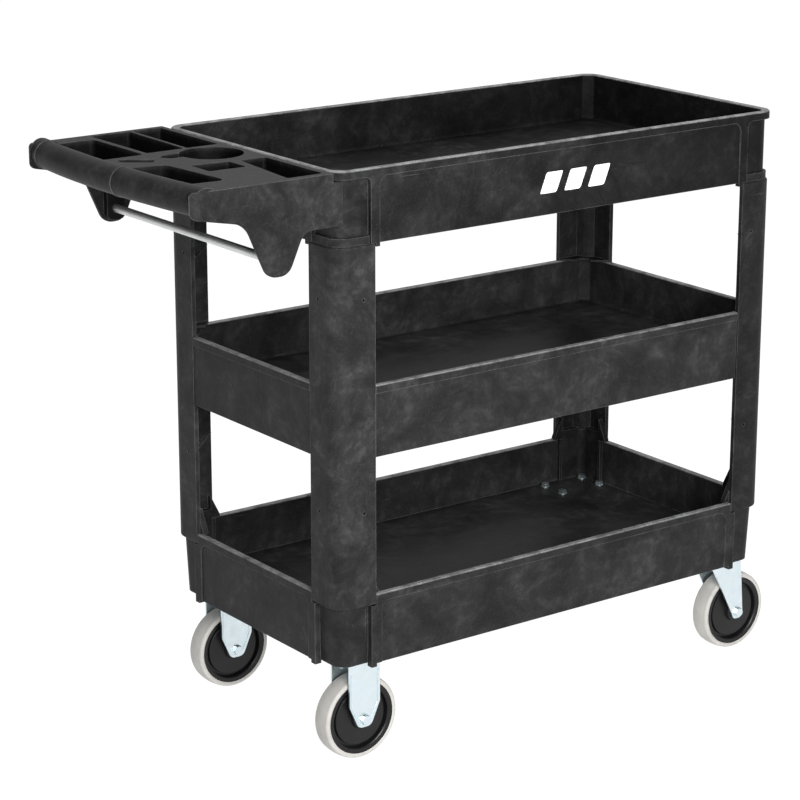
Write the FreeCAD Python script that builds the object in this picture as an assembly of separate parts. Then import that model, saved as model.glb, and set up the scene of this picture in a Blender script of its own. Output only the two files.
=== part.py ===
import FreeCAD, Part
import math
import os

# A three-shelf utility tool cart: moulded shelves between four angle legs, a tool tray with the push
# handle at the rear, two fixed wheels under the handle and two swivel casters at the front.
# Millimetres. +X runs forward, away from the handle, +Y to the pusher's left, +Z up.
# The origin is on the floor, under the middle of the cart's overall box.
# Every part is drawn in shelf coordinates: x from the rear end of the shelves, y from the right-hand
# side, z from the floor. save() moves it into the cart's own frame.

Vector = FreeCAD.Vector

# Shelves
SHELF_LENGTH = 808.0
SHELF_WIDTH = 432.0
TOP_RIM = 867.0
MIDDLE_RIM = 564.0
BOTTOM_RIM = 259.5
TUB_HEIGHT = 103.5
TRAY_DEPTH = 72.0
FLOOR_THICKNESS = 5.0
WALL_INSET = 11.0
LIP_HEIGHT = 12.0
PANEL_RECESS = 1.6
RIM_ROUNDING = 3.0
CORNER_RADIUS = 27.0
INNER_CHAMFER = 13.0

# Legs
LEG_WALL = 7.0
LEG_WIDTH = 65.0
LEG_FOOT = 244.5
COLLAR_HEIGHT = 11.0
COLLAR_INSET = 2.4
COLLAR_WIDTH = 57.0
TONGUE_THICKNESS = 4.0
PEG_HOLE_RADIUS = 2.4
PEG_HOLE_HEIGHTS = (687.0, 383.0)

# Handle moulding and hanging rod
HANDLE_REACH = 237.0
HANDLE_GAP = 3.5
GRIP_RADIUS = 20.3
GRIP_HEIGHT = 851.7
GRIP_BOW = 15.0
SHEET = 2.6
CHEEK = 6.0
ROD_RADIUS = 6.0
ROD_X = -92.5
ROD_Z = 760.0

# Wheels and casters
WHEEL_RADIUS = 62.5
HUB_RADIUS = 54.5
WHEEL_WIDTH = 32.0
CASTER_SIDE = 49.0
RIGID_X = 63.0
KINGPIN_X = 745.0
TRAIL = 44.5
PLATE_RECESS = 10.0
PLATE_TOP = BOTTOM_RIM - TUB_HEIGHT + PLATE_RECESS
PLATE_LENGTH = 100.0
PLATE_WIDTH = 66.0
PLATE_THICKNESS = 3.0
BOLT_SPACING_X = 79.0
BOLT_SPACING_Y = 45.0
BOLT_END = PLATE_TOP - 15.0
FORK_THICKNESS = 3.0
FORK_GAP = 41.0
CROWN_TOP = PLATE_TOP - 18.0
AXLE_RADIUS = 4.0
KINGPIN_RADIUS = 6.0
SLEEVE_RADIUS = 7.5
RUNNING_FIT = 0.05

CASTER_OVERHANG = KINGPIN_X + TRAIL + WHEEL_RADIUS - SHELF_LENGTH
REAR = (HANDLE_REACH - SHELF_LENGTH - CASTER_OVERHANG) / 2
RIGHT = -SHELF_WIDTH / 2


# ---- plain solids -------------------------------------------------------------------------------

def box(low, high):
    return Part.makeBox(high[0] - low[0], high[1] - low[1], high[2] - low[2], Vector(*low))


def cylinder(radius, start, direction, length):
    return Part.makeCylinder(radius, length, Vector(*start), Vector(*direction))


def rounded_wire(corners, to_space):
    """Closed wire through (u, v, radius) corners, each rounded by its own radius."""
    entries, middles, exits = [], [], []
    for index, (u, v, radius) in enumerate(corners):
        corner = Vector(u, v, 0)
        back = Vector(*corners[index - 1][:2], 0) - corner
        ahead = Vector(*corners[(index + 1) % len(corners)][:2], 0) - corner
        back.normalize()
        ahead.normalize()
        half = back.getAngle(ahead) / 2
        reach = radius / math.tan(half)
        bisector = back + ahead
        bisector.normalize()
        entries.append(corner + back * reach)
        middles.append(corner + bisector * (radius / math.sin(half) - radius))
        exits.append(corner + ahead * reach)
    edges = []
    for index, (u, v, radius) in enumerate(corners):
        entry, middle, leave = [to_space(p.x, p.y) for p in (entries[index], middles[index], exits[index])]
        if radius > 0:
            edges.append(Part.Arc(entry, middle, leave).toShape())
        after = entries[(index + 1) % len(corners)]
        start, end = leave, to_space(after.x, after.y)
        if start.distanceToPoint(end) > 1e-6:
            edges.append(Part.makeLine(start, end))
    return Part.Wire(edges)


def prism_z(corners, low, high):
    wire = rounded_wire(corners, lambda u, v: Vector(u, v, low))
    return Part.Face(wire).extrude(Vector(0, 0, high - low))


def prism_y(corners, low, high):
    wire = rounded_wire(corners, lambda u, v: Vector(u, low, v))
    return Part.Face(wire).extrude(Vector(0, high - low, 0))


def prism_x(corners, low, high):
    wire = rounded_wire(corners, lambda u, v: Vector(low, u, v))
    return Part.Face(wire).extrude(Vector(high - low, 0, 0))


def oblong(low, high, radius):
    """Corners of a rectangle whose four corners are rounded alike."""
    return [(low[0], low[1], radius), (high[0], low[1], radius),
            (high[0], high[1], radius), (low[0], high[1], radius)]


def fuse(pieces):
    return pieces[0].multiFuse(pieces[1:]).removeSplitter()


def cut(body, tools):
    return body.cut(Part.makeCompound(tools))


def level_edges(solid, level):
    """Edges of a solid that lie wholly at one height."""
    def lies_level(edge):
        middle = edge.valueAt((edge.FirstParameter + edge.LastParameter) / 2)
        return all(abs(z - level) < 1e-4 for z in [v.Z for v in edge.Vertexes] + [middle.z])
    return [edge for edge in solid.Edges if lies_level(edge)]


def mirror_x(shape):
    return shape.mirror(Vector(SHELF_LENGTH / 2, 0, 0), Vector(1, 0, 0))


def mirror_y(shape):
    return shape.mirror(Vector(0, SHELF_WIDTH / 2, 0), Vector(0, 1, 0))


def four_corners(shape):
    """The same corner detail at all four corners of a shelf."""
    return [shape, mirror_x(shape), mirror_y(shape), mirror_x(mirror_y(shape))]


# ---- fasteners ----------------------------------------------------------------------------------

def hexagon(across_flats, thickness, base):
    """Hexagonal prism standing on base, with its corners turned off at the top."""
    radius = across_flats / math.sqrt(3)
    corners = [(base[0] + radius * math.cos(math.radians(60 * k)),
                base[1] + radius * math.sin(math.radians(60 * k)), 0) for k in range(6)]
    prism = prism_z(corners, base[2], base[2] + thickness)
    crown = Part.makeCone(radius + thickness * 0.75, radius * 0.86, thickness, Vector(*base))
    return prism.common(crown)


def pan_screw(shank_radius, shank_length):
    """Pan-head screw along +Z: the head's underside is at z = 0 and the shank rises from it."""
    head_radius = shank_radius * 2.1
    head_height = shank_radius * 1.3
    head = cylinder(head_radius, (0, 0, -head_height), (0, 0, 1), head_height)
    head = head.makeFillet(head_height * 0.6, level_edges(head, -head_height))
    slot = box((-shank_radius, -0.5, -head_height - 1), (shank_radius, 0.5, -head_height * 0.45))
    cross = slot.copy()
    cross.rotate(Vector(0, 0, 0), Vector(0, 0, 1), 90)
    return fuse([cut(head, [slot, cross]), cylinder(shank_radius, (0, 0, 0), (0, 0, 1), shank_length)])


def placed(shape, point, axis=(0, 0, 1)):
    """A copy of a shape drawn along +Z, turned to an axis and moved to a point."""
    turned = shape.copy()
    turned.Placement = FreeCAD.Placement(Vector(*point), FreeCAD.Rotation(Vector(0, 0, 1), Vector(*axis)))
    return turned


# ---- shelves ------------------------------------------------------------------------------------

LEG_SCREW = (26.0, 26.0)
LEG_SCREW_RADIUS = 2.9
SCREW_CLEARANCE = 3.0
HANDLE_SCREW_Y = (82.0, 166.0, 266.0, 350.0)
HANDLE_SCREW_Z = 807.0
BOTTOM_DRAFT = 3.0
UNDER_RIB = 3.0
UNDER_RIB_DEPTH = 13.0


def plan(inset, radius, low, high):
    """The shelf's outline, drawn in by an inset and raised from low to high."""
    corners = oblong((inset, inset), (SHELF_LENGTH - inset, SHELF_WIDTH - inset), radius)
    return prism_z(corners, low, high)


def tray_space(rim, corner):
    """The tray's inner space, with eased corners and a rounded foot to its walls."""
    floor_top = rim - TRAY_DEPTH
    low, high_x, high_y = WALL_INSET, SHELF_LENGTH - WALL_INSET, SHELF_WIDTH - WALL_INSET
    if corner == "chamfer":
        ease = INNER_CHAMFER
        corners = [(low + ease, low, 3), (high_x - ease, low, 3), (high_x, low + ease, 3),
                   (high_x, high_y - ease, 3), (high_x - ease, high_y, 3), (low + ease, high_y, 3),
                   (low, high_y - ease, 3), (low, low + ease, 3)]
        space = prism_z(corners, floor_top, rim + 1)
        return space.makeFillet(5, level_edges(space, floor_top))
    return prism_z(oblong((low, low), (high_x, high_y), CORNER_RADIUS - WALL_INSET), floor_top, rim + 1)


def wall_bands(bottom, rim, corner_width):
    """The four outer walls between the legs, flush with the legs' outer faces."""
    depth = LEG_WALL + 1
    long_wall = box((corner_width, 0, bottom), (SHELF_LENGTH - corner_width, depth, rim))
    end_wall = box((0, corner_width, bottom), (depth, SHELF_WIDTH - corner_width, rim))
    return [long_wall, mirror_y(long_wall), end_wall, mirror_x(end_wall)]


def panel_recesses(bottom, rim, start, radius):
    """Shallow recesses under the lip that leave the lip and the end ribs standing proud."""
    top = rim - LIP_HEIGHT
    low = bottom - 10
    long_face = [(start, low, 0), (SHELF_LENGTH - start, low, 0),
                 (SHELF_LENGTH - start, top, radius), (start, top, radius)]
    end_face = [(start, low, 0), (SHELF_WIDTH - start, low, 0),
                (SHELF_WIDTH - start, top, radius), (start, top, radius)]
    long_cut = prism_y(long_face, -1, PANEL_RECESS)
    end_cut = prism_x(end_face, -1, PANEL_RECESS)
    return [long_cut, mirror_y(long_cut), end_cut, mirror_x(end_cut)]


def underside_ribs(bottom, floor_bottom):
    """A grid of thin stiffening ribs below the floor."""
    low = floor_bottom - UNDER_RIB_DEPTH
    inner = WALL_INSET - 0.5
    ribs = []
    half = UNDER_RIB / 2
    for share in (0.3, 0.5, 0.7):
        y = SHELF_WIDTH * share
        ribs.append(box((inner, y - half, low), (SHELF_LENGTH - inner, y + half, floor_bottom)))
    for share in (0.2, 0.35, 0.5, 0.65, 0.8):
        x = SHELF_LENGTH * share
        ribs.append(box((x - half, inner, low), (x + half, SHELF_WIDTH - inner, floor_bottom)))
    return ribs


def rim_edges(shell, rim):
    """The tray's inner rim edges, and the outer ones that the legs don't cover."""
    def on_face(edge):
        bounds = edge.BoundBox
        flush_x = bounds.XMax < 1e-3 or bounds.XMin > SHELF_LENGTH - 1e-3
        flush_y = bounds.YMax < 1e-3 or bounds.YMin > SHELF_WIDTH - 1e-3
        return flush_x or flush_y

    def inside(edge):
        bounds = edge.BoundBox
        low = WALL_INSET - 1e-3
        return (bounds.XMin > low and bounds.YMin > low
                and bounds.XMax < SHELF_LENGTH - low and bounds.YMax < SHELF_WIDTH - low)

    def outer_corner(edge):
        rounded = len(edge.Vertexes) == 2 and "Circle" in str(edge.Curve)
        return rounded and edge.Curve.Radius > CORNER_RADIUS - 1
    return [edge for edge in level_edges(shell, rim) if on_face(edge) or inside(edge) or outer_corner(edge)]


def drafted_core(draft, bottom, rim):
    """The shelf's body inside the legs; below the legs' feet its sides lean in by the draft."""
    radius = CORNER_RADIUS - LEG_WALL

    def outline(inset, level):
        corners = oblong((inset, inset), (SHELF_LENGTH - inset, SHELF_WIDTH - inset), radius)
        return rounded_wire(corners, lambda u, v: Vector(u, v, level))
    if draft == 0:
        return [plan(LEG_WALL, radius, bottom, rim)]
    lower = Part.makeLoft([outline(LEG_WALL + draft, bottom), outline(LEG_WALL, LEG_FOOT)], True, True)
    return [lower, plan(LEG_WALL, radius, LEG_FOOT, rim)]


def lip_fillets(rim, corner_width):
    """Small webs that round the recess over each leg where the lip meets the wall's end."""
    radius = 9.0
    top = rim - LIP_HEIGHT
    near, depth = corner_width - radius, LEG_WALL + 1
    fill = box((near, 0, top - radius), (corner_width, depth, top))
    long_fill = fill.cut(cylinder(radius, (near, -1, top - radius), (0, 1, 0), depth + 2))
    fill = box((0, near, top - radius), (depth, corner_width, top))
    end_fill = fill.cut(cylinder(radius, (-1, near, top - radius), (1, 0, 0), depth + 2))
    return four_corners(long_fill) + four_corners(end_fill)


def shelf_tub(rim, corner_width, rib_width, inner_corner, lip_at_corners, extras, holes, draft=0.0):
    """One shelf: a tray with a lipped rim, and a skirt below its floor that is open underneath."""
    bottom = rim - TUB_HEIGHT
    floor_bottom = rim - TRAY_DEPTH - FLOOR_THICKNESS
    shell = drafted_core(draft, bottom, rim) + wall_bands(bottom, rim, corner_width)
    if lip_at_corners:
        shell.append(plan(0, CORNER_RADIUS, rim - LIP_HEIGHT, rim))
        shell += lip_fillets(rim, corner_width)
    shell = fuse(shell)
    recess_radius = 14 if rib_width > 0 else 0
    hollow = plan(WALL_INSET + draft / 2, CORNER_RADIUS - WALL_INSET, bottom - 1, floor_bottom)
    shell = cut(shell, panel_recesses(bottom, rim, corner_width + rib_width, recess_radius)
                + [tray_space(rim, inner_corner), hollow])
    shell = fuse([shell] + underside_ribs(bottom, floor_bottom) + extras(bottom, floor_bottom))
    shell = cut(shell, holes)
    return shell.makeFillet(RIM_ROUNDING, rim_edges(shell, rim))


def leg_bosses(bottom, floor_bottom):
    """Blocks under the floor at the corners, which the leg screws bite into."""
    low, high = WALL_INSET - 1, 38
    corner = [(low, low, CORNER_RADIUS - low), (high, low, 0), (high, high, 0), (low, high, 0)]
    return four_corners(prism_z(corner, bottom, floor_bottom))


def top_details(bottom, floor_bottom):
    """Leg bosses, and a small foot under each rib beside the legs."""
    side_foot = box((66.5, 0, bottom - 5), (73, LEG_WALL + 1, bottom + 10))
    end_foot = box((0, 66.5, bottom - 5), (LEG_WALL + 1, 73, bottom + 10))
    return leg_bosses(bottom, floor_bottom) + four_corners(side_foot) + four_corners(end_foot)


def leg_screw_holes(bottom):
    return four_corners(cylinder(SCREW_CLEARANCE, (*LEG_SCREW, bottom - 1), (0, 0, 1), 21))


def top_shelf():
    bottom = TOP_RIM - TUB_HEIGHT
    holes = leg_screw_holes(bottom)
    for y in HANDLE_SCREW_Y:
        holes.append(cylinder(SCREW_CLEARANCE, (-1, y, HANDLE_SCREW_Z), (1, 0, 0), WALL_INSET + 2))
    return shelf_tub(TOP_RIM, COLLAR_WIDTH + 1, 15.0, "chamfer", True, top_details, holes)


def middle_shelf():
    bottom = MIDDLE_RIM - TUB_HEIGHT
    return shelf_tub(MIDDLE_RIM, LEG_WIDTH + 1, 0.0, "chamfer", False, leg_bosses, leg_screw_holes(bottom))


def caster_bolt_points():
    """Plan positions of the four plate bolts at each of the four casters."""
    points = []
    for x in (RIGID_X, KINGPIN_X):
        for y in (CASTER_SIDE, SHELF_WIDTH - CASTER_SIDE):
            points.append([(x + sx * BOLT_SPACING_X / 2, y + sy * BOLT_SPACING_Y / 2)
                           for sx in (-1, 1) for sy in (-1, 1)])
    return points


def bottom_details(bottom, floor_bottom):
    """Caster pads under the floor, and the ribs with small feet beside each corner."""
    pads = []
    for x in (RIGID_X, KINGPIN_X):
        low_x = max(x - PLATE_LENGTH / 2 - 2, WALL_INSET + 1)
        high_x = min(x + PLATE_LENGTH / 2 + 2, SHELF_LENGTH - WALL_INSET - 1)
        low_y, high_y = CASTER_SIDE - PLATE_WIDTH / 2 - 2, CASTER_SIDE + PLATE_WIDTH / 2 + 2
        outer = CORNER_RADIUS - WALL_INSET - 1
        corners = [(low_x, low_y, outer), (high_x, low_y, outer), (high_x, high_y, 0), (low_x, high_y, 0)]
        pad = prism_z(corners, PLATE_TOP, floor_bottom)
        pads += [pad, mirror_y(pad)]
    depth = WALL_INSET - 0.5
    side_rib = box((57, 0, bottom - 5), (LEG_WIDTH + 1, depth, LEG_FOOT - 1.5))
    end_rib = box((0, 58, bottom - 5), (depth, LEG_WIDTH + 3, LEG_FOOT - 1.5))
    return pads + four_corners(side_rib) + four_corners(end_rib)


def bottom_shelf():
    bottom = BOTTOM_RIM - TUB_HEIGHT
    bolt_holes = [cylinder(4.25, (x, y, bottom - 1), (0, 0, 1), TUB_HEIGHT - TRAY_DEPTH + 2)
                  for group in caster_bolt_points() for x, y in group]
    groove_depth = WALL_INSET - 2.0
    side_groove = box((52, -1, bottom - 1), (57, groove_depth, LEG_FOOT - 1.5))
    end_groove = box((-1, 53, bottom - 1), (groove_depth, 58, LEG_FOOT - 1.5))
    holes = bolt_holes + four_corners(side_groove) + four_corners(end_groove)
    return shelf_tub(BOTTOM_RIM, LEG_WIDTH + 1, 9.0, "round", False, bottom_details, holes, BOTTOM_DRAFT)


# ---- legs ---------------------------------------------------------------------------------------

def angle(outer, inner, reach, corner_radius, low, high):
    """L-section prism between two insets, with both its corners rounded about one centre."""
    corners = [(outer, outer, corner_radius - outer), (reach, outer, 0), (reach, inner, 0),
               (inner, inner, max(corner_radius - inner, 1)), (inner, reach, 0), (outer, reach, 0)]
    return prism_z(corners, low, high)


def leg_web(height, thickness):
    """Thin level web across the leg's inner corner, with an arch cut out of its free edge."""
    reach = LEG_WIDTH - 2
    web = prism_z([(6, 6, CORNER_RADIUS - 6), (reach, 6, 0), (reach, 10, 0), (10, reach, 0), (6, reach, 0)],
                  height, height + thickness)
    arch = cylinder(12, (36, 36, height - 1), (0, 0, 1), thickness + 2)
    return cut(web, [arch])


def leg_column(low, high):
    """Hollow-cored post in the leg's inner corner, with a small square window near its top."""
    post = prism_z([(6, 6, CORNER_RADIUS - 6), (28, 6, 0), (22, 17, 2), (17, 22, 2), (6, 28, 0)], low, high)
    window = box((14, 14, high - 34), (24, 24, high - 27))
    return cut(post, [window])


def leg():
    """Rear right leg: a moulded angle that wraps the shelf corners and straddles the bottom tub."""
    top = TOP_RIM - TUB_HEIGHT
    middle_bottom = MIDDLE_RIM - TUB_HEIGHT
    shell = angle(0, LEG_WALL, LEG_WIDTH, CORNER_RADIUS, LEG_FOOT, top)
    foot_rounding = [e for e in level_edges(shell, LEG_FOOT) + level_edges(shell, top)
                     if e.BoundBox.XMin < 1e-3 or e.BoundBox.YMin < 1e-3]
    shell = shell.makeFillet(3.0, foot_rounding)
    collar = angle(COLLAR_INSET, LEG_WALL, COLLAR_WIDTH, CORNER_RADIUS, top - 4, top + COLLAR_HEIGHT)
    tongue = angle(WALL_INSET, WALL_INSET + TONGUE_THICKNESS, LEG_WIDTH - 1, CORNER_RADIUS,
                   BOTTOM_RIM - TRAY_DEPTH, BOTTOM_RIM)
    saddle = angle(LEG_WALL - 1, WALL_INSET + TONGUE_THICKNESS, LEG_WIDTH - 1, CORNER_RADIUS,
                   BOTTOM_RIM, BOTTOM_RIM + 14)
    inner = WALL_INSET + TONGUE_THICKNESS
    flare_corners = [(LEG_WIDTH - 8, BOTTOM_RIM, 0), (LEG_WIDTH + 8, BOTTOM_RIM, 0),
                     (LEG_WIDTH + 8, BOTTOM_RIM + 4, 0), (LEG_WIDTH - 8, BOTTOM_RIM + 36, 0)]
    flares = [prism_y(flare_corners, LEG_WALL - 1, inner), prism_x(flare_corners, LEG_WALL - 1, inner)]
    tray_floor = BOTTOM_RIM - TRAY_DEPTH
    edge_bars = [box((LEG_WIDTH - 6, inner - 1, tray_floor), (LEG_WIDTH - 1, inner + 2, BOTTOM_RIM)),
                 box((inner - 1, LEG_WIDTH - 6, tray_floor), (inner + 2, LEG_WIDTH - 1, BOTTOM_RIM))]
    columns = [leg_column(BOTTOM_RIM + 10, middle_bottom), leg_column(MIDDLE_RIM, top)]
    webs = [leg_web(middle_bottom - 3, 3), leg_web(MIDDLE_RIM, 3)]
    shelf_corners = [(6, 6, CORNER_RADIUS - 6), (40, 6, 0), (40, 26, 4), (26, 40, 4), (6, 40, 0)]
    screw_shelves = [prism_z(shelf_corners, level - 4, level) for level in (top, middle_bottom)]
    gussets = []
    for height in (MIDDLE_RIM + 78, BOTTOM_RIM + 92):
        bar = [(16, height, 0), (20, height, 0),
               (LEG_WIDTH - 1, height + 42, 0), (LEG_WIDTH - 5, height + 42, 0)]
        gussets += [prism_y(bar, LEG_WALL - 1, LEG_WALL + 3), prism_x(bar, LEG_WALL - 1, LEG_WALL + 3)]
    solid = fuse([shell, collar, saddle, tongue] + flares + edge_bars + columns + webs
                 + screw_shelves + gussets)
    holes = [cylinder(SCREW_CLEARANCE, (*LEG_SCREW, level - 6), (0, 0, 1), 8)
             for level in (top, middle_bottom)]
    for height in PEG_HOLE_HEIGHTS:
        holes.append(cylinder(PEG_HOLE_RADIUS, (LEG_WIDTH - 20, -1, height), (0, 1, 0), LEG_WALL + 2))
        holes.append(cylinder(PEG_HOLE_RADIUS, (-1, LEG_WIDTH - 20, height), (1, 0, 0), LEG_WALL + 2))
    return cut(solid, holes)


# ---- handle moulding ----------------------------------------------------------------------------

def grip_line(offset):
    """Plan arc that runs beside the grip's centre line, offset towards the shelves."""
    middle_x = -HANDLE_REACH + GRIP_RADIUS + offset
    return Part.Arc(Vector(middle_x + GRIP_BOW, 0, 0), Vector(middle_x, SHELF_WIDTH / 2, 0),
                    Vector(middle_x + GRIP_BOW, SHELF_WIDTH, 0)).toShape()


def bowed_prism(front_offset, back, low, high):
    """Plan area between the bowed front line and a straight back line, raised from low to high."""
    front = grip_line(front_offset)
    start, end = front.Vertexes[0].Point, front.Vertexes[1].Point
    right, left = Vector(back, 0, 0), Vector(back, SHELF_WIDTH, 0)
    straight = [Part.makeLine(end, left), Part.makeLine(left, right), Part.makeLine(right, start)]
    wire = Part.Wire([front] + straight)
    wire.translate(Vector(0, 0, low))
    return Part.Face(wire).extrude(Vector(0, 0, high - low))


def grip_bar():
    """Round grip along the bowed front edge, with two moulded rings where the hand zones meet."""
    path = grip_line(0)
    path.translate(Vector(0, 0, GRIP_HEIGHT))
    origin = path.FirstParameter
    span = path.LastParameter - origin
    pieces = []
    for radius, first, last in ((GRIP_RADIUS, 0.0, 1.0), (GRIP_RADIUS + 1.0, 0.425, 0.433),
                                (GRIP_RADIUS + 1.0, 0.938, 0.945)):
        piece_path = Part.Edge(path.Curve, origin + span * first, origin + span * last)
        start = piece_path.valueAt(piece_path.FirstParameter)
        tangent = piece_path.tangentAt(piece_path.FirstParameter)
        ring = Part.Wire(Part.Circle(start, tangent, radius).toShape())
        pieces.append(Part.Wire(piece_path).makePipeShell([ring], True, True))
    return pieces


def cheek():
    """Right-hand side plate of the moulding, with the lobe that carries the hanging rod."""
    back, tuck, lip = -HANDLE_GAP, 13.0, TOP_RIM - LIP_HEIGHT - 0.5
    profile = [(back, TOP_RIM, 0), (-226, TOP_RIM, 8), (-226, 832, 14), (-142, 815, 34), (-108, 738.5, 21),
               (-75, 738.5, 21), (-50, 794, 20), (tuck, 794, 4), (tuck, lip, 2), (back, lip, 0)]
    plate = prism_y(profile, 0, CHEEK)
    rounded = [e for e in plate.Edges if e.BoundBox.YMax < 1e-3 and e.BoundBox.XMax < back + 0.5
               and e.BoundBox.ZMax < TOP_RIM - 1]
    plate = plate.makeFillet(2.2, rounded)
    relief = box((-0.3, CHEEK - 0.5, 790), (tuck + 1, CHEEK + 1, TOP_RIM))
    boss = prism_y(oblong((ROD_X - 15, 743), (ROD_X + 15, 800), 10), CHEEK - 1, CHEEK + 10)
    socket = cylinder(ROD_RADIUS + 0.1, (ROD_X, 2.5, ROD_Z), (0, 1, 0), CHEEK + 10)
    return cut(fuse([cut(plate, [relief]), boss]), [socket])


# Each pocket is its outline's corners (x, y, rounding) and the height of its floor.
SHALLOW, DEEP = 838.0, 812.0
POCKETS = {
    "front_left": ([(-209, 262, 8), (-136, 262, 8), (-136, 400, 8), (-204, 400, 8)], SHALLOW),
    "front_right": ([(-201, 56, 12), (-139, 48, 12), (-150, 184, 12), (-213, 196, 12)], SHALLOW),
    "back_left_outer": ([(-128, 268, 4), (-68, 268, 4), (-64, 423, 4), (-128, 423, 4)], DEEP),
    "back_left_inner": ([(-63, 268, 4), (-12, 268, 4), (-12, 423, 4), (-59, 423, 4)], DEEP),
    "small": ([(-127, 111, 4), (-69, 108, 4), (-69, 154, 4), (-127, 160, 4)], DEEP),
    "back_right": ([(-69, 11, 5), (-12, 11, 5), (-12, 150, 5), (-53, 150, 5)], DEEP),
}
CUP_CENTRE, CUP_RADIUS = (-56.0, 216.5), 45.0
LOBE_CENTRE, LOBE_RADIUS = (-115.0, 230.0), 13.0
SLOT_CENTRE, SLOT_HALF, SLOT_RADIUS, SLOT_ANGLE = (-168.0, 229.0), 15.0, 10.0, -37.0


def cup_space(grow, low, high):
    """Round cup well joined to a small lobe, grown outward by the sheet's thickness for the walls."""
    cup = cylinder(CUP_RADIUS + grow, (*CUP_CENTRE, low), (0, 0, 1), high - low)
    lobe = cylinder(LOBE_RADIUS + grow, (*LOBE_CENTRE, low), (0, 0, 1), high - low)
    neck = box((LOBE_CENTRE[0], -LOBE_RADIUS - grow, low), (CUP_CENTRE[0], LOBE_RADIUS + grow, high))
    neck.translate(Vector(0, LOBE_CENTRE[1], 0))
    return fuse([cup, lobe, neck])


def slot_space(grow, low, high):
    """Oval hole set across the moulding's corner, right through the deck."""
    radius = SLOT_RADIUS + grow
    ends = oblong((-SLOT_HALF - radius, -radius), (SLOT_HALF + radius, radius), radius * 0.98)
    slot = prism_z(ends, low, high)
    slot.rotate(Vector(0, 0, 0), Vector(0, 0, 1), SLOT_ANGLE)
    slot.translate(Vector(*SLOT_CENTRE, 0))
    return slot


def grown(corners, amount):
    """Pocket corners moved outward by a wall's thickness."""
    middle_x = sum(c[0] for c in corners) / len(corners)
    middle_y = sum(c[1] for c in corners) / len(corners)
    return [(x + math.copysign(amount, x - middle_x), y + math.copysign(amount, y - middle_y), r + amount)
            for x, y, r in corners]


def handle_moulding():
    """Tool tray and push handle in one moulding, screwed to the top shelf's rear wall."""
    deck = bowed_prism(3.0, -HANDLE_GAP, TOP_RIM - 4, TOP_RIM)
    right_cheek = cheek()
    back_wall = box((-HANDLE_GAP - 5, 2, 797), (-HANDLE_GAP, SHELF_WIDTH - 2, TOP_RIM - 1))
    wells = [prism_z(grown(corners, SHEET), floor - SHEET, TOP_RIM - 1)
             for corners, floor in POCKETS.values()]
    wells += [cup_space(SHEET, DEEP - SHEET, TOP_RIM - 1), slot_space(SHEET, SHALLOW, TOP_RIM - 1)]
    screw_bosses = [cylinder(7, (-24, y, HANDLE_SCREW_Z), (1, 0, 0), 18) for y in HANDLE_SCREW_Y]
    solid = fuse([deck, back_wall, right_cheek, mirror_y(right_cheek)] + grip_bar() + wells)
    # The plan outline trims the grip's ends round and keeps every wall within the moulding's sides.
    front = -HANDLE_REACH - 3
    outline = [(13.5, 0, 0), (13.5, SHELF_WIDTH, 0), (front, SHELF_WIDTH, 34), (front, 0, 34)]
    solid = solid.common(prism_z(outline, 730, 880))
    spaces = [prism_z(corners, floor, 900) for corners, floor in POCKETS.values()]
    spaces += [cup_space(0, DEEP, 900), slot_space(0, 800, 900)]
    bores = [cylinder(SCREW_CLEARANCE, (-22, y, HANDLE_SCREW_Z), (1, 0, 0), 22) for y in HANDLE_SCREW_Y]
    return cut(cut(fuse([solid] + screw_bosses), spaces), bores)


def hanging_rod():
    rod = cylinder(ROD_RADIUS, (ROD_X, 3, ROD_Z), (0, 1, 0), SHELF_WIDTH - 6)
    ends = [e for e in rod.Edges if e.Closed]
    return rod.makeChamfer(0.8, ends)


# ---- wheels -------------------------------------------------------------------------------------

def turned(profile, x, y, z):
    """Solid of revolution about the wheel's axle from (radius, offset along the axle) points."""
    points = [Vector(x + radius, y + along, z) for radius, along in profile]
    face = Part.Face(Part.makePolygon(points + points[:1]))
    return face.revolve(Vector(x, y, z), Vector(0, 1, 0), 360)


def wheel_hub(x, y):
    """Moulded hub: a rim band, a dished web and a long centre boss that runs on the sleeve."""
    half, bore = WHEEL_WIDTH / 2, SLEEVE_RADIUS + RUNNING_FIT
    side = [(bore, 19.5), (14, 19.5), (15.5, 18), (17, 12.5), (40.5, 11.5), (42.2, 10.8), (43, 6.5),
            (46, 6.5), (47, 13.2), (48.5, 14.4), (HUB_RADIUS, half - 1)]
    profile = side + [(radius, -along) for radius, along in reversed(side)]
    return turned(profile, x, y, WHEEL_RADIUS)


def wheel_tread(x, y):
    """Solid grey tread moulded round the hub, crowned and with rounded shoulders."""
    half = WHEEL_WIDTH / 2
    centre = Vector(x, y, WHEEL_RADIUS)

    def at(radius, along):
        return centre + Vector(radius, along, 0)
    crown, shoulder = WHEEL_RADIUS - 1.0, half - 5.0
    edges = [Part.makeLine(at(HUB_RADIUS, -half + 1), at(HUB_RADIUS, half - 1)),
             Part.makeLine(at(HUB_RADIUS, half - 1), at(WHEEL_RADIUS - 5.5, half)),
             Part.Arc(at(WHEEL_RADIUS - 5.5, half), at(WHEEL_RADIUS - 2.1, half - 1.6),
                      at(crown, shoulder)).toShape(),
             Part.Arc(at(crown, shoulder), at(WHEEL_RADIUS, 0), at(crown, -shoulder)).toShape(),
             Part.Arc(at(crown, -shoulder), at(WHEEL_RADIUS - 2.1, -half + 1.6),
                      at(WHEEL_RADIUS - 5.5, -half)).toShape(),
             Part.makeLine(at(WHEEL_RADIUS - 5.5, -half), at(HUB_RADIUS, -half + 1))]
    return Part.Face(Part.Wire(edges)).revolve(centre, Vector(0, 1, 0), 360)


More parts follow.
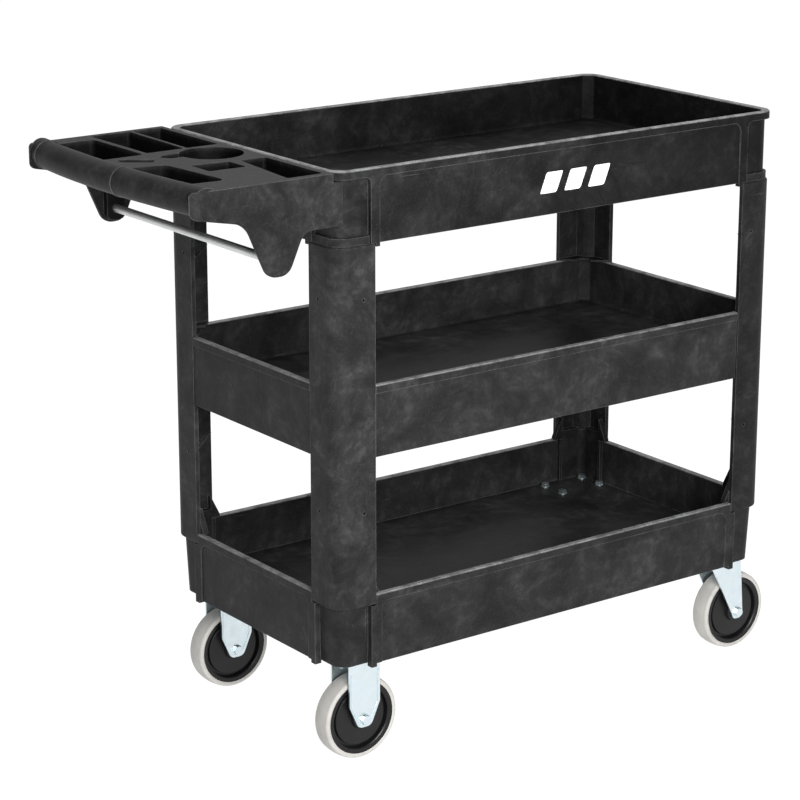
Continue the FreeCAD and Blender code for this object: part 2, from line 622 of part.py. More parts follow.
def axle_sleeve(x, y):
    """Steel sleeve clamped between the fork's legs; the wheel turns on it."""
    start = (x, y - FORK_GAP / 2, WHEEL_RADIUS)
    outer = cylinder(SLEEVE_RADIUS, start, (0, 1, 0), FORK_GAP)
    return outer.cut(cylinder(AXLE_RADIUS + 0.1, start, (0, 1, 0), FORK_GAP))


def axle_bolt(x, y):
    """Hex bolt through both fork legs, with its head on the cart's right-hand side."""
    outer = FORK_GAP / 2 + FORK_THICKNESS
    head = placed(hexagon(13.0, 5.0, (0, 0, 0)), (x, y - outer, WHEEL_RADIUS), (0, -1, 0))
    shank = cylinder(AXLE_RADIUS, (x, y - outer - 1, WHEEL_RADIUS), (0, 1, 0), 2 * outer + 13)
    return fuse([head, shank])


def axle_nut(x, y):
    outer = FORK_GAP / 2 + FORK_THICKNESS
    nut = placed(hexagon(13.0, 8.0, (0, 0, 0)), (x, y + outer, WHEEL_RADIUS), (0, 1, 0))
    return nut.cut(cylinder(AXLE_RADIUS + 0.1, (x, y + outer - 1, WHEEL_RADIUS), (0, 1, 0), 12))


# ---- casters ------------------------------------------------------------------------------------

def plate_bolts(points):
    """Flanged hex bolts down through the shelf floor, its pad and a caster plate."""
    floor = BOTTOM_RIM - TRAY_DEPTH
    bolts = []
    for x, y in points:
        flange = cylinder(7.6, (x, y, floor), (0, 0, 1), 1.4)
        head = hexagon(12.0, 5.0, (x, y, floor + 1.0))
        shank = cylinder(4.0, (x, y, BOLT_END), (0, 0, 1), floor + 2 - BOLT_END)
        shank = shank.makeChamfer(0.9, level_edges(shank, BOLT_END))
        bolts.append(fuse([head, flange, shank]))
    return Part.makeCompound(bolts)


def plate_nuts(points):
    under = PLATE_TOP - PLATE_THICKNESS
    nuts = []
    for x, y in points:
        nut = placed(hexagon(13.0, 6.5, (0, 0, 0)), (x, y, under), (0, 0, -1))
        nuts.append(nut.cut(cylinder(4.1, (x, y, under - 9), (0, 0, 1), 12)))
    return Part.makeCompound(nuts)


def mounting_plate(x, y, points):
    """Flat caster plate with rounded corners and four bolt holes."""
    low = (x - PLATE_LENGTH / 2, y - PLATE_WIDTH / 2)
    high = (x + PLATE_LENGTH / 2, y + PLATE_WIDTH / 2)
    plate = prism_z(oblong(low, high, 12), PLATE_TOP - PLATE_THICKNESS, PLATE_TOP)
    return cut(plate, [cylinder(4.3, (px, py, PLATE_TOP - 5), (0, 0, 1), 8) for px, py in points])


def fork_side(corners, y, inward, axle_x):
    """One pressed leg of a fork, drilled for the axle bolt."""
    low, high = sorted((y, y + inward * FORK_THICKNESS))
    leg_plate = prism_y(corners, low, high)
    return leg_plate.cut(cylinder(AXLE_RADIUS + 0.1, (axle_x, low - 1, WHEEL_RADIUS), (0, 1, 0), 6))


def bead(corners, y, outward):
    """Raised bead on the outside of a fork leg, drawn between two nested outlines."""
    shrink, width = 2.2, 2.4
    low, high = sorted((y - outward, y + outward))
    middle_x = sum(c[0] for c in corners) / len(corners)

    def nested(amount):
        return [(u - math.copysign(amount, u - middle_x), v + (amount if v < WHEEL_RADIUS + 22 else 0),
                 max(r - amount, 0.5) if r else 0) for u, v, r in corners]
    return prism_y(nested(shrink), low, high).cut(prism_y(nested(shrink + width), low - 1, high + 1))


def rigid_fork(x, y, points):
    """Fixed fork pressed from one strip: the plate with a leg folded down at each side."""
    top = PLATE_TOP - PLATE_THICKNESS
    half = 26.5
    corners = [(x - half, top, 0), (x + half, top, 0), (x + half, 86, 8), (x + 11, 51, 11),
               (x - 11, 51, 11), (x - half, 86, 8)]
    pieces = [mounting_plate(x, y, points)]
    for side in (-1, 1):
        inner = y + side * FORK_GAP / 2
        outer = inner + side * FORK_THICKNESS
        low_corners = [(u, v if v < top else v + 1, r) for u, v, r in corners]
        pieces.append(fork_side(low_corners, inner, side, x))
        pieces.append(bead([(u, v if v < top else 134.0, r) for u, v, r in corners], outer, side))
    return fuse(pieces)


def swivel_fork(x, y):
    """Trailing fork: a crown that turns about the kingpin and two raked legs."""
    axle_x = x + TRAIL
    crown_low = CROWN_TOP - FORK_THICKNESS
    half = FORK_GAP / 2 + FORK_THICKNESS
    crown = fuse([cylinder(30, (x, y, crown_low), (0, 0, 1), FORK_THICKNESS),
                  prism_z(oblong((x - 13, y - half), (x + 48, y + half), 4), crown_low, CROWN_TOP)])
    corners = [(x - 12, CROWN_TOP - 1, 0), (x + 48, CROWN_TOP - 1, 0), (axle_x + 10.5, WHEEL_RADIUS, 6),
               (axle_x + 8, WHEEL_RADIUS - 10.5, 7), (axle_x - 8, WHEEL_RADIUS - 10.5, 7),
               (axle_x - 12.5, WHEEL_RADIUS, 6)]
    pieces = [crown]
    for side in (-1, 1):
        pieces.append(fork_side(corners, y + side * FORK_GAP / 2, side, axle_x))
    solid = fuse(pieces)
    return cut(solid, [cylinder(KINGPIN_RADIUS + RUNNING_FIT, (x, y, crown_low - 1), (0, 0, 1), 8)])


RACE_RADIUS = 23.0
BALL_RADIUS = 4.6


def swivel_plate(x, y, points):
    """Top plate with the dished race cup that holds the ball ring above the fork's crown."""
    plate = mounting_plate(x, y, points)
    low = CROWN_TOP + 1.0
    cup = cylinder(32, (x, y, low), (0, 0, 1), PLATE_TOP - PLATE_THICKNESS - low)
    cup = cup.makeFillet(3, level_edges(cup, low))
    race_height = (low + PLATE_TOP - PLATE_THICKNESS) / 2
    race = Part.makeTorus(RACE_RADIUS, BALL_RADIUS + 0.35, Vector(x, y, race_height))
    trough = cylinder(RACE_RADIUS + 3, (x, y, low - 1), (0, 0, 1), 4)
    trough = trough.cut(cylinder(RACE_RADIUS - 3, (x, y, low - 1), (0, 0, 1), 4))
    solid = fuse([plate, cup])
    return cut(solid, [race, trough, cylinder(KINGPIN_RADIUS + 0.1, (x, y, low - 1), (0, 0, 1), 20)])


def race_balls(x, y):
    """Steel balls between the plate and the crown."""
    height = (CROWN_TOP + 1.0 + PLATE_TOP - PLATE_THICKNESS) / 2
    count = 14
    balls = []
    for k in range(count):
        turn = 2 * math.pi * k / count
        centre = Vector(x + RACE_RADIUS * math.cos(turn), y + RACE_RADIUS * math.sin(turn), height)
        balls.append(Part.makeSphere(BALL_RADIUS, centre))
    return Part.makeCompound(balls)


def kingpin(x, y):
    """Riveted pivot pin through the plate and the crown."""
    shank = cylinder(KINGPIN_RADIUS, (x, y, CROWN_TOP - 5), (0, 0, 1), PLATE_TOP - CROWN_TOP + 5)
    head = cylinder(9.5, (x, y, CROWN_TOP - 7.4), (0, 0, 1), 4.0)
    head = head.makeFillet(2.2, level_edges(head, CROWN_TOP - 7.4))
    return fuse([shank, head])


# ---- every node ---------------------------------------------------------------------------------

def save(name, shape):
    shape = shape.copy()
    shape.translate(Vector(REAR, RIGHT, 0))
    solids = shape.Solids
    assert solids and all(solid.isValid() for solid in solids), name
    (solids[0] if len(solids) == 1 else Part.makeCompound(solids)).exportStep("parts/" + name + ".step")


def save_casters():
    places = {"rear_right": (RIGID_X, CASTER_SIDE), "rear_left": (RIGID_X, SHELF_WIDTH - CASTER_SIDE),
              "front_right": (KINGPIN_X, CASTER_SIDE), "front_left": (KINGPIN_X, SHELF_WIDTH - CASTER_SIDE)}
    for (name, (x, y)), points in zip(places.items(), caster_bolt_points()):
        swivels = name.startswith("front")
        axle_x = x + TRAIL if swivels else x
        if swivels:
            save(name + "_swivel_plate", swivel_plate(x, y, points))
            save(name + "_race_balls", race_balls(x, y))
            save(name + "_kingpin", kingpin(x, y))
            save(name + "_fork", swivel_fork(x, y))
        else:
            save(name + "_fork", rigid_fork(x, y, points))
        save(name + "_plate_bolts", plate_bolts(points))
        save(name + "_plate_nuts", plate_nuts(points))
        save(name + "_axle_bolt", axle_bolt(axle_x, y))
        save(name + "_axle_nut", axle_nut(axle_x, y))
        save(name + "_axle_sleeve", axle_sleeve(axle_x, y))
        save(name + "_wheel_hub", wheel_hub(axle_x, y))
        save(name + "_wheel_tread", wheel_tread(axle_x, y))


os.makedirs("parts", exist_ok=True)
save("top_shelf", top_shelf())
save("middle_shelf", middle_shelf())
save("bottom_shelf", bottom_shelf())
for leg_name, leg_solid in zip(("rear_right_leg", "front_right_leg", "rear_left_leg", "front_left_leg"),
                               four_corners(leg())):
    save(leg_name, leg_solid)
save("handle_tray", handle_moulding())
save("hanging_rod", hanging_rod())
screw = pan_screw(LEG_SCREW_RADIUS, 20.0)
for group_name, rim in (("top_leg_screws", TOP_RIM), ("middle_leg_screws", MIDDLE_RIM)):
    head_face = rim - TUB_HEIGHT - TONGUE_THICKNESS
    save(group_name, Part.makeCompound(four_corners(placed(screw, (*LEG_SCREW, head_face)))))
handle_screws = [placed(pan_screw(LEG_SCREW_RADIUS, 29.0), (WALL_INSET, y, HANDLE_SCREW_Z), (-1, 0, 0))
                 for y in HANDLE_SCREW_Y]
save("handle_screws", Part.makeCompound(handle_screws))
save_casters()
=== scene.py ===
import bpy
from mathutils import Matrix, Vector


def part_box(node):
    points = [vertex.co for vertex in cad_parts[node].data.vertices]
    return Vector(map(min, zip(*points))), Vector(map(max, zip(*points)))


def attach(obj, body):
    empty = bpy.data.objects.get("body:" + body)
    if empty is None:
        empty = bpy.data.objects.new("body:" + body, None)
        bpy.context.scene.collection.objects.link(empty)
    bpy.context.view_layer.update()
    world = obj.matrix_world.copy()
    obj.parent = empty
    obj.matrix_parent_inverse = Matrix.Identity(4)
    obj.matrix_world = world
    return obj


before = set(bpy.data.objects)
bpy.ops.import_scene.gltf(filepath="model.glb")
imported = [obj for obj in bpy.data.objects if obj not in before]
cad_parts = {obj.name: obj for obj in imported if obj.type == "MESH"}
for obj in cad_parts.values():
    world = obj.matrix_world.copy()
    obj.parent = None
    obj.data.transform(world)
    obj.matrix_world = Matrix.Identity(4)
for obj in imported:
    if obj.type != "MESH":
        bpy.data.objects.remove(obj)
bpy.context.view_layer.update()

import math

import bmesh
import bpy
from mathutils import Vector


# ---- shelves ------------------------------------------------------------------------------------
# Three open trays, each moulded in one shot from black structural-foam polypropylene.
# The foamed melt leaves a satin skin with cloudy grey flow marks, and handling has
# scuffed the rims a little lighter; edges and rim tops also carry a painted highlight. Screws from the legs
# hold them.

EASED_EDGE = 0.0010
WORN_HIGHLIT_EDGE = 0.0020
RUBBED_AND_HIGHLIT_GREY = (0.27, 0.27, 0.273, 1)
# A rim's scuff and painted highlight are full down to the first depth below its top, and gone under the
# second.
SCUFF_AND_HIGHLIGHT_FULL, SCUFF_AND_HIGHLIGHT_GONE = 0.0012, 0.0036
RIM_SLACK = 0.002
# Painted shade runs along the cart, from the first X near the handle's end to the second towards the far
# end.
FAR_END_SHADE_FROM, FAR_END_SHADE_TO = -0.30, 0.45


class FinishNodes:
    """Adds the nodes of one finish to its tree, and sets or wires their inputs."""

    def __init__(self, tree):
        self.tree = tree

    def add(self, kind, inputs, **settings):
        """Adds a node. Each input, by name or number, takes a value or another node's output."""
        node = self.tree.nodes.new(kind)
        for name, value in settings.items():
            setattr(node, name, value)
        for key, value in inputs.items():
            if isinstance(value, bpy.types.NodeSocket):
                self.tree.links.new(value, node.inputs[key])
            else:
                node.inputs[key].default_value = value
        return node

    def place(self):
        """Where a point lies on the cart, in metres."""
        return self.add("ShaderNodeTexCoord", {}).outputs["Object"]

    def stretched(self, place, scale, rotation=(0.0, 0.0, 0.0)):
        """A place drawn out along one axis, for lines and scratches."""
        inputs = {"Vector": place, "Scale": scale, "Rotation": rotation}
        return self.add("ShaderNodeMapping", inputs).outputs[0]

    def noise(self, place, scale, detail, roughness=0.5, distortion=0.0, output="Fac"):
        """Cloudy noise, with about scale clouds to the metre."""
        inputs = {"Vector": place, "Scale": scale, "Detail": detail,
                  "Roughness": roughness, "Distortion": distortion}
        return self.add("ShaderNodeTexNoise", inputs).outputs[output]

    def ramp(self, value, start, end, low, high):
        """Runs start..end of a value onto low..high, and holds it level beyond them."""
        return self.add("ShaderNodeMapRange", {0: value, 1: start, 2: end, 3: low, 4: high}).outputs[0]

    def calculate(self, operation, one, other, clamp=False):
        """One step of arithmetic on two numbers."""
        inputs = {0: one, 1: other}
        return self.add("ShaderNodeMath", inputs, operation=operation, use_clamp=clamp).outputs[0]

    def product(self, *factors):
        """All the factors multiplied together."""
        total = factors[0]
        for factor in factors[1:]:
            total = self.calculate("MULTIPLY", total, factor)
        return total

    def dot(self, one, other):
        """How far two directions agree, from -1 to 1."""
        inputs = {0: one, 1: other}
        return self.add("ShaderNodeVectorMath", inputs, operation="DOT_PRODUCT").outputs["Value"]

    def split(self, vector):
        """A vector's X, Y and Z."""
        return tuple(self.add("ShaderNodeSeparateXYZ", {0: vector}).outputs)

    def mix(self, share, one, other, blend="MIX"):
        """Two colours mixed, with this share of the second."""
        return self.add("ShaderNodeMixRGB", {0: share, 1: one, 2: other}, blend_type=blend).outputs[0]

    def bump(self, height, strength, distance, over=None):
        """Raised and sunk detail, laid over another bump where one is given."""
        inputs = {"Strength": strength, "Distance": distance, "Height": height}
        if over is not None:
            inputs["Normal"] = over
        return self.add("ShaderNodeBump", inputs).outputs[0]

    def surface(self, inputs):
        """Ends the tree in one shader. A value that is the same all over is set on its own socket."""
        shader = self.add("ShaderNodeBsdfPrincipled", inputs)
        self.add("ShaderNodeOutputMaterial", {"Surface": shader.outputs[0]})


def new_finish(name):
    """An empty material, and the nodes to be added to it."""
    material = bpy.data.materials.new(name)
    material.use_nodes = True
    material.node_tree.nodes.clear()
    return material, FinishNodes(material.node_tree)


def flow_marks(nodes, place, cloud_size):
    """How pale the foamed melt has dried at a point, from 0 to 1, and the blotches in it."""
    drift = nodes.noise(place, scale=4.0, detail=3.0, roughness=0.6, output="Color")
    bent = nodes.mix(0.06, place, drift, blend="LINEAR_LIGHT")
    clouds = nodes.noise(bent, scale=1.0 / cloud_size, detail=9.0, roughness=0.66, distortion=0.35)
    clouds = nodes.ramp(clouds, 0.38, 0.70, 0.0, 1.0)
    blotches = nodes.noise(bent, scale=3.6 / cloud_size, detail=6.0, roughness=0.7, distortion=0.2)
    patches = nodes.product(clouds, nodes.ramp(blotches, 0.46, 0.64, 0.0, 0.65))
    veil = nodes.product(clouds, 0.35)
    specks = nodes.noise(place, scale=330.0, detail=3.0, roughness=0.7)
    specks = nodes.ramp(specks, 0.55, 0.72, 0.0, 0.32)
    marks = nodes.calculate("ADD", nodes.calculate("ADD", patches, veil, clamp=True), specks, clamp=True)
    return marks, blotches


def scratches(nodes, place):
    """Faint scratches, all lying much the same way."""
    streaks = nodes.stretched(place, (9.0, 260.0, 260.0), (0.35, 0.6, 0.25))
    streaks = nodes.noise(streaks, scale=1.0, detail=4.0, roughness=0.75)
    return nodes.ramp(streaks, 0.68, 0.76, 0.0, 0.20)


def rubbed_and_highlit_edges(nodes, place, rims):
    """Where hands and loads have rubbed the skin, with a painted highlight in the same places: on every
    edge, and on the upward-facing tops of the rims.
    """
    geometry = nodes.add("ShaderNodeNewGeometry", {})
    eased = nodes.add("ShaderNodeBevel", {"Radius": WORN_HIGHLIT_EDGE}, samples=6).outputs[0]
    # Painted highlight and wear: the colour is lightened along every edge.
    edge = nodes.ramp(nodes.dot(eased, geometry.outputs["True Normal"]), 0.985, 0.86, 0.0, 0.30)
    uneven = nodes.noise(place, scale=45.0, detail=4.0, roughness=0.65)
    uneven = nodes.ramp(uneven, 0.30, 0.62, 0.25, 1.0)
    rubbed_and_highlit = nodes.product(edge, uneven)
    # Painted highlight and scuffing: only the upward-facing parts of the rims are lightened.
    facing_up = nodes.ramp(nodes.split(geometry.outputs["Normal"])[2], 0.15, 0.7, 0.0, 1.0)
    height = nodes.split(place)[2]
    for rim in rims:
        gap = nodes.calculate("SUBTRACT", rim, height)
        on_lip = nodes.ramp(gap, SCUFF_AND_HIGHLIGHT_GONE, SCUFF_AND_HIGHLIGHT_FULL, 0.0, 0.95)
        not_above = nodes.calculate("GREATER_THAN", gap, -RIM_SLACK)
        rubbed_and_highlit = nodes.calculate("MAXIMUM", rubbed_and_highlit, nodes.product(on_lip, not_above, facing_up, uneven))
    return rubbed_and_highlit


def foam_moulded_plastic(name, dark, pale, cloud_size, satin, far_end_shade, rims=(), darken=None):
    """Black foamed polypropylene with flow marks, fine grain, faint scratches, and edges lightened by
    scuffing and by a painted highlight.
    Painted shade: its colour is scaled by the first of the two shares at the handle's end, and by the second
    at the far end."""
    material, nodes = new_finish(name)
    place = nodes.place()
    marks, blotches = flow_marks(nodes, place, cloud_size)
    colour = nodes.mix(marks, (*dark, 1), (*pale, 1))
    # Painted shade: the colour is scaled along the cart from the handle's end to the far end.
    shade_scale = nodes.ramp(nodes.split(place)[0], FAR_END_SHADE_FROM, FAR_END_SHADE_TO, *far_end_shade)
    shade_scale = nodes.add("ShaderNodeCombineXYZ", {0: shade_scale, 1: shade_scale, 2: shade_scale}).outputs[0]
    colour = nodes.mix(1.0, colour, shade_scale, blend="MULTIPLY")
    if darken:
        colour = darken(nodes, place, colour)
    # Scratches are wear; the lightened edges and rim tops are wear and painted highlight.
    wear_and_highlight = nodes.calculate("MAXIMUM", rubbed_and_highlit_edges(nodes, place, rims), scratches(nodes, place))
    grain = nodes.bump(nodes.noise(place, scale=900.0, detail=2.0), strength=0.12, distance=0.0004)
    nodes.surface({"Base Color": nodes.mix(wear_and_highlight, colour, RUBBED_AND_HIGHLIT_GREY),
                   "Roughness": nodes.ramp(marks, 0.0, 1.0, satin, satin + 0.20),
                   "Normal": nodes.bump(blotches, strength=0.5, distance=0.0012, over=grain),
                   "Specular IOR Level": 0.08,
                   "IOR": 1.49})
    return material


def dress(node, material, edge=0.0):
    """Gives a CAD node its finish and, where the mould has eased its edges, a small rounding."""
    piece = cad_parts[node]
    piece.data.materials.clear()
    piece.data.materials.append(material)
    if edge > 0:
        flat = piece.modifiers.new("flat faces", "DECIMATE")
        flat.decimate_type = "DISSOLVE"
        flat.angle_limit = math.radians(0.5)
        rounding = piece.modifiers.new("eased edges", "BEVEL")
        rounding.width = edge
        rounding.segments = 3
        rounding.limit_method = "ANGLE"
        rounding.angle_limit = math.radians(35)
        rounding.harden_normals = True
        rounding.miter_outer = "MITER_ARC"


def rim_height(shelf):
    """The top of a shelf's rim above the floor."""
    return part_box(shelf)[1][2]


# The top tray carries painted shade, its colour falling to less than half towards the far end.
dress("top_shelf", foam_moulded_plastic(
    "top_shelf_plastic", dark=(0.0095, 0.0095, 0.0098), pale=(0.046, 0.046, 0.0474), cloud_size=0.075,
    satin=0.42, far_end_shade=(1.0, 0.42), rims=(rim_height("top_shelf"),)), EASED_EDGE)

LOWER_SHELVES = ("middle_shelf", "bottom_shelf")
shelf_plastic = foam_moulded_plastic(
    "shelf_plastic", dark=(0.0125, 0.0125, 0.0129), pale=(0.052, 0.052, 0.0535), cloud_size=0.075,
    satin=0.42, far_end_shade=(1.0, 1.0), rims=[rim_height(shelf) for shelf in LOWER_SHELVES])
for shelf in LOWER_SHELVES:
    dress(shelf, shelf_plastic, EASED_EDGE)


# ---- printed mark on the top tray ---------------------------------------------------------------
# Three plain slanted bars, screen printed in white ink on the tray's right-hand wall.
# The ink is a little worn and stands a tenth of a millimetre proud of the plastic.

BAR_SIZE = 0.030
BAR_LEAN = 0.012
BAR_CORNER = 0.003
BAR_PITCH = 0.044
FIRST_BAR = 0.352
BAR_RISE = 0.036
WALL_INSET = 0.0016
INK_SKIN = 0.0001


def slanted_bar(mesh, left, bottom, face):
    """A thin bar with rounded corners, standing on a wall that faces -Y."""
    outline = []
    for u, v, start in ((BAR_SIZE, BAR_SIZE, 0), (0, BAR_SIZE, 90), (0, 0, 180), (BAR_SIZE, 0, 270)):
        inset_u = u - math.copysign(BAR_CORNER, u - BAR_SIZE / 2)
        inset_v = v - math.copysign(BAR_CORNER, v - BAR_SIZE / 2)
        for step in range(5):
            turn = math.radians(start + step * 22.5)
            level = inset_v + BAR_CORNER * math.sin(turn)
            along = inset_u + BAR_CORNER * math.cos(turn) + BAR_LEAN * level / BAR_SIZE
            outline.append((left + along, bottom + level))
    front = [mesh.verts.new((x, face - INK_SKIN, z)) for x, z in outline]
    back = [mesh.verts.new((x, face + INK_SKIN, z)) for x, z in outline]
    mesh.faces.new(reversed(front))
    mesh.faces.new(back)
    for index, vertex in enumerate(front):
        follower = (index + 1) % len(front)
        mesh.faces.new((vertex, front[follower], back[follower], back[index]))


def printed_ink(name):
    """White screen ink: slightly uneven cover, with the black showing through in specks."""
    material, nodes = new_finish(name)
    cover = nodes.noise(nodes.place(), scale=260.0, detail=5.0, roughness=0.7)
    worn = nodes.ramp(cover, 0.60, 0.78, 0.0, 0.7)
    nodes.surface({"Base Color": nodes.mix(worn, (0.78, 0.78, 0.77, 1), (0.22, 0.22, 0.22, 1)),
                   "Roughness": 0.5,
                   "Normal": nodes.bump(cover, strength=0.15, distance=0.0002)})
    return material


tray_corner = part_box("top_shelf")[0]
mark_mesh = bmesh.new()
for bar in range(3):
    slanted_bar(mark_mesh, tray_corner[0] + FIRST_BAR + bar * BAR_PITCH, tray_corner[2] + BAR_RISE,
                tray_corner[1] + WALL_INSET)
bmesh.ops.recalc_face_normals(mark_mesh, faces=mark_mesh.faces)
mark_data = bpy.data.meshes.new("printed_mark")
mark_mesh.to_mesh(mark_data)
mark_mesh.free()
mark_data.materials.append(printed_ink("printed_ink"))
printed_mark = bpy.data.objects.new("printed_mark", mark_data)
bpy.context.collection.objects.link(printed_mark)
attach(printed_mark, "cart")


# ---- legs ---------------------------------------------------------------------------------------
# Four moulded angle legs in the same black plastic, wrapped round the shelf corners.
# Their feet straddle the bottom tray and their collars slip into the recesses of the top one.

# The legs carry painted shade, darker towards the far end.
leg_plastic = foam_moulded_plastic(
    "leg_plastic", dark=(0.0140, 0.0140, 0.0144), pale=(0.060, 0.060, 0.0618), cloud_size=0.055,
    satin=0.44, far_end_shade=(1.0, 0.62))
for leg in ("rear_right_leg", "front_right_leg", "rear_left_leg", "front_left_leg"):
    dress(leg, leg_plastic, EASED_EDGE)


# ---- handle -------------------------------------------------------------------------------------
# Push handle and tool tray in one moulding. Below the deck, the walls of its pockets
# carry painted shade in near-black. Screws hold it to the top tray.

DECK_HEIGHT = 0.866
POCKET_SHADE_DEPTH = 0.006
POCKETS_REAR = -0.5195
POCKETS_HALF_WIDTH = 0.2085
# The near-black of the painted shade in the pockets.
POCKET_SHADE_BLACK = (0.002, 0.002, 0.0021, 1)


def shaded_pockets(nodes, place, colour):
    """Painted shade: darkens the colour below the deck, between the grip and the tray's side walls."""
    x, y, z = nodes.split(place)
    past_grip = nodes.calculate("GREATER_THAN", x, POCKETS_REAR)
    off_middle = nodes.add("ShaderNodeMath", {0: y}, operation="ABSOLUTE").outputs[0]
    between_walls = nodes.calculate("LESS_THAN", off_middle, POCKETS_HALF_WIDTH)
    below_deck = nodes.ramp(z, DECK_HEIGHT, DECK_HEIGHT - POCKET_SHADE_DEPTH, 0.0, 0.8)
    return nodes.mix(nodes.product(past_grip, between_walls, below_deck), colour, POCKET_SHADE_BLACK)


# The handle's pockets carry painted shade.
dress("handle_tray", foam_moulded_plastic(
    "handle_plastic", dark=(0.0110, 0.0110, 0.0113), pale=(0.050, 0.050, 0.0515), cloud_size=0.050,
    satin=0.46, far_end_shade=(1.05, 1.05), darken=shaded_pockets), EASED_EDGE)


# ---- hanging rod --------------------------------------------------------------------------------
# A drawn aluminium rod for hooks and cloths, left bare and slightly tarnished.
# Its ends sit in blind sockets in the handle's two lobes, so it goes in with the handle.

ALONG_X, ALONG_Y = 0, 1


def drawn_metal(name, colour, roughness, drawn_along):
    """Bare metal with faint draw lines along one axis and a slight tarnish."""
    material, nodes = new_finish(name)
    place = nodes.place()
    scale = [700.0, 700.0, 700.0]
    scale[drawn_along] = 12.0
    lines = nodes.noise(nodes.stretched(place, tuple(scale)), scale=1.0, detail=3.0)
    tarnish = nodes.noise(place, scale=55.0, detail=5.0, roughness=0.6)
    dull = tuple(channel * 0.72 for channel in colour)
    nodes.surface({"Base Color": nodes.mix(tarnish, (*colour, 1), (*dull, 1)),
                   "Roughness": nodes.ramp(lines, 0.3, 0.7, roughness * 0.75, roughness * 1.3),
                   "Normal": nodes.bump(lines, strength=0.12, distance=0.0002),
                   "Metallic": 1.0})
    return material


dress("hanging_rod", drawn_metal("rod_metal", (0.74, 0.745, 0.75), 0.55, ALONG_Y))


# ---- screws -------------------------------------------------------------------------------------
# Steel screws that hold the legs to the shelves and the handle to the top tray.
# They are zinc plated and passivated, which leaves them bright with a blue-white tinge.

def zinc_plating(name, colour, roughness):
    """Blue-white passivated zinc: faint spangle, clouding in the sheen and small pits."""
    material, nodes = new_finish(name)
    place = nodes.place()
    spangle = nodes.add("ShaderNodeTexVoronoi", {"Vector": place, "Scale": 260.0}, feature="F1")
    spangle = spangle.outputs["Color"]
    cloud = nodes.noise(place, scale=70.0, detail=5.0, roughness=0.6)
    warm = (colour[0] * 0.92, colour[1] * 0.90, colour[2] * 0.86)
    plating = nodes.mix(cloud, (*colour, 1), (*warm, 1))
    pits = nodes.noise(place, scale=1400.0, detail=2.0)
    nodes.surface({"Base Color": nodes.mix(0.035, plating, spangle, blend="MULTIPLY"),
                   "Roughness": nodes.ramp(cloud, 0.3, 0.7, roughness * 0.8, roughness * 1.25),
                   "Normal": nodes.bump(pits, strength=0.06, distance=0.0002),
                   "Metallic": 1.0})
    return material


zinc = zinc_plating("zinc_plating", (0.74, 0.84, 0.90), 0.36)
for screws in ("top_leg_screws", "middle_leg_screws", "handle_screws"):
    dress(screws, zinc)


# ---- casters ------------------------------------------------------------------------------------
# Pressed steel forks under the bottom tray, zinc plated, each held by four bolts through its floor.
# The rear pair is fixed. The front pair turns on kingpins and rings of polished steel balls.
# Each axle bolt clamps a hardened sleeve, and the wheel runs on that.

CORNERS = ("rear_right", "rear_left", "front_right", "front_left")
bearing_steel = drawn_metal("bearing_steel", (0.55, 0.56, 0.58), 0.18, ALONG_X)
for corner in CORNERS:
    for part in ("fork", "plate_bolts", "plate_nuts", "axle_bolt", "axle_nut"):
        dress(f"{corner}_{part}", zinc)
    dress(f"{corner}_axle_sleeve", bearing_steel)
for corner in ("front_right", "front_left"):
    dress(f"{corner}_swivel_plate", zinc)
    dress(f"{corner}_kingpin", zinc)
    dress(f"{corner}_race_balls", bearing_steel)


# ---- wheels -------------------------------------------------------------------------------------
# Each wheel is a black nylon hub with a grey thermoplastic rubber tread moulded round it.
# The tread has picked up a little floor dirt, and the hub keeps a smooth low sheen.

def tread_rubber(name):
    """Grey rubber with a fine tooth, a shade darker where it has picked up dirt."""
    material, nodes = new_finish(name)
    place = nodes.place()
    dirt = nodes.noise(place, scale=35.0, detail=6.0, roughness=0.65)
    soiled = nodes.ramp(dirt, 0.42, 0.75, 0.0, 0.7)
    tooth = nodes.noise(place, scale=800.0, detail=3.0)
    nodes.surface({"Base Color": nodes.mix(soiled, (0.47, 0.455, 0.43, 1), (0.36, 0.348, 0.328, 1)),
                   "Roughness": nodes.ramp(dirt, 0.3, 0.7, 0.48, 0.66),
                   "Normal": nodes.bump(tooth, strength=0.12, distance=0.0003)})
    return material


def hub_nylon(name):
    """Smooth black nylon, faintly clouded in colour and sheen."""
    material, nodes = new_finish(name)
    place = nodes.place()
    cloud = nodes.noise(place, scale=60.0, detail=5.0, roughness=0.6)
    grain = nodes.noise(place, scale=1200.0, detail=2.0)
    nodes.surface({"Base Color": nodes.mix(cloud, (0.0035, 0.0035, 0.0038, 1), (0.012, 0.012, 0.013, 1)),
                   "Roughness": nodes.ramp(cloud, 0.3, 0.7, 0.30, 0.42),
                   "Normal": nodes.bump(grain, strength=0.06, distance=0.0002),
                   "Specular IOR Level": 0.25})
    return material


tread = tread_rubber("tread_rubber")
hub = hub_nylon("hub_nylon")
for corner in CORNERS:
    dress(f"{corner}_wheel_tread", tread)
    dress(f"{corner}_wheel_hub", hub)


# ---- floor, light and camera --------------------------------------------------------------------
# A plain studio floor that glows white by itself, so it stays white and holds no shadow.
# One large soft box stands off the cart's right side and one hangs over it, and the surround
# is brighter beyond the front left corner. The camera is a long lens at standing eye height.

FLOOR_REACH = 60

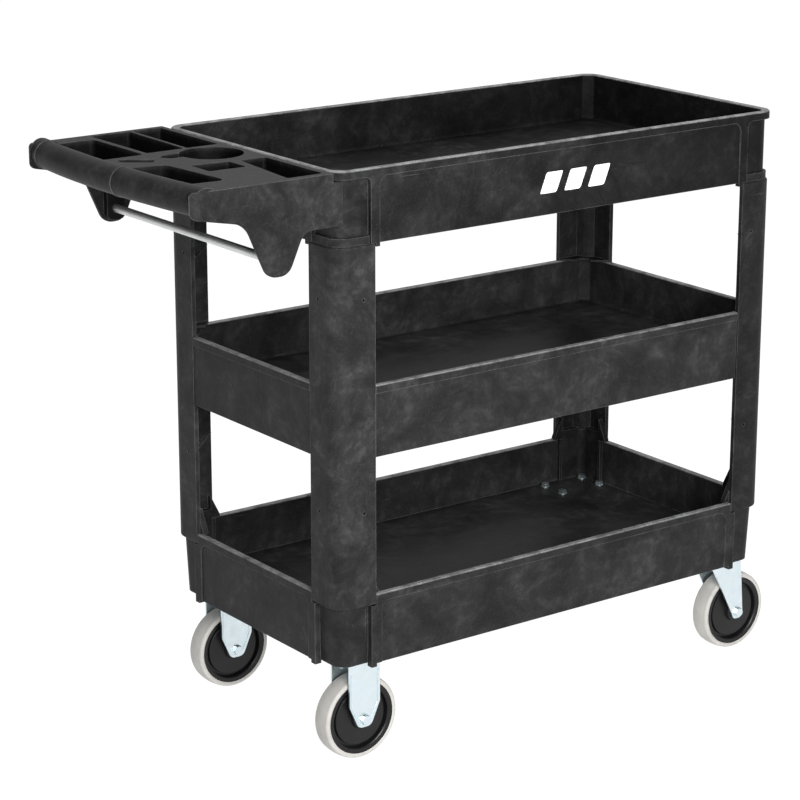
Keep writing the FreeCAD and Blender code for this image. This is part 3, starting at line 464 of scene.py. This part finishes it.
floor_corners = [(-FLOOR_REACH, -FLOOR_REACH, 0), (FLOOR_REACH, -FLOOR_REACH, 0),
                 (FLOOR_REACH, FLOOR_REACH, 0), (-FLOOR_REACH, FLOOR_REACH, 0)]
floor_mesh = bpy.data.meshes.new("studio_floor")
floor_mesh.from_pydata(floor_corners, [], [(0, 1, 2, 3)])
floor = bpy.data.objects.new("studio_floor", floor_mesh)
bpy.context.collection.objects.link(floor)
floor_paper, nodes = new_finish("floor_paper")
nodes.surface({"Base Color": (0.10, 0.10, 0.10, 1), "Roughness": 1.0, "Specular IOR Level": 0.0,
               "Emission Color": (1, 1, 1, 1), "Emission Strength": 1.0})
floor_mesh.materials.append(floor_paper)

surround = bpy.data.worlds.new("studio_surround")
surround.use_nodes = True
nodes = FinishNodes(surround.node_tree)
heading = nodes.add("ShaderNodeTexCoord", {}).outputs["Generated"]
far_left = nodes.dot(heading, (0.60, 0.78, 0.15))
background = surround.node_tree.nodes["Background"]
background.inputs["Color"].default_value = (1, 1, 1, 1)
surround.node_tree.links.new(nodes.ramp(far_left, 0.35, 0.95, 0.14, 0.85), background.inputs["Strength"])
bpy.context.scene.world = surround


def aimed(name, data, place, aim):
    """A light or camera that stands at a place and looks at a point."""
    holder = bpy.data.objects.new(name, data)
    holder.location = place
    holder.rotation_euler = (Vector(aim) - holder.location).to_track_quat("-Z", "Y").to_euler()
    bpy.context.collection.objects.link(holder)
    return holder


def soft_box(name, place, aim, width, height, power):
    """A studio light with a large even face."""
    light = bpy.data.lights.new(name, "AREA")
    light.shape = "RECTANGLE"
    light.size, light.size_y, light.energy = width, height, power
    aimed(name, light, place, aim)


soft_box("key_soft_box", (-1.0, -2.7, 1.5), (-0.1, 0, 0.5), width=1.6, height=1.5, power=130)
soft_box("top_soft_box", (0.6, 0.6, 3.6), (0, 0, 0.6), width=2.6, height=1.4, power=56)

long_lens = bpy.data.cameras.new("camera")
long_lens.lens = 119.69
long_lens.sensor_width = 36.0
bpy.context.scene.camera = aimed("camera", long_lens, (-2.2946, -3.0524, 1.565), (0.0027, 0.0604, 0.436))
bpy.context.scene.view_settings.view_transform = "Standard"
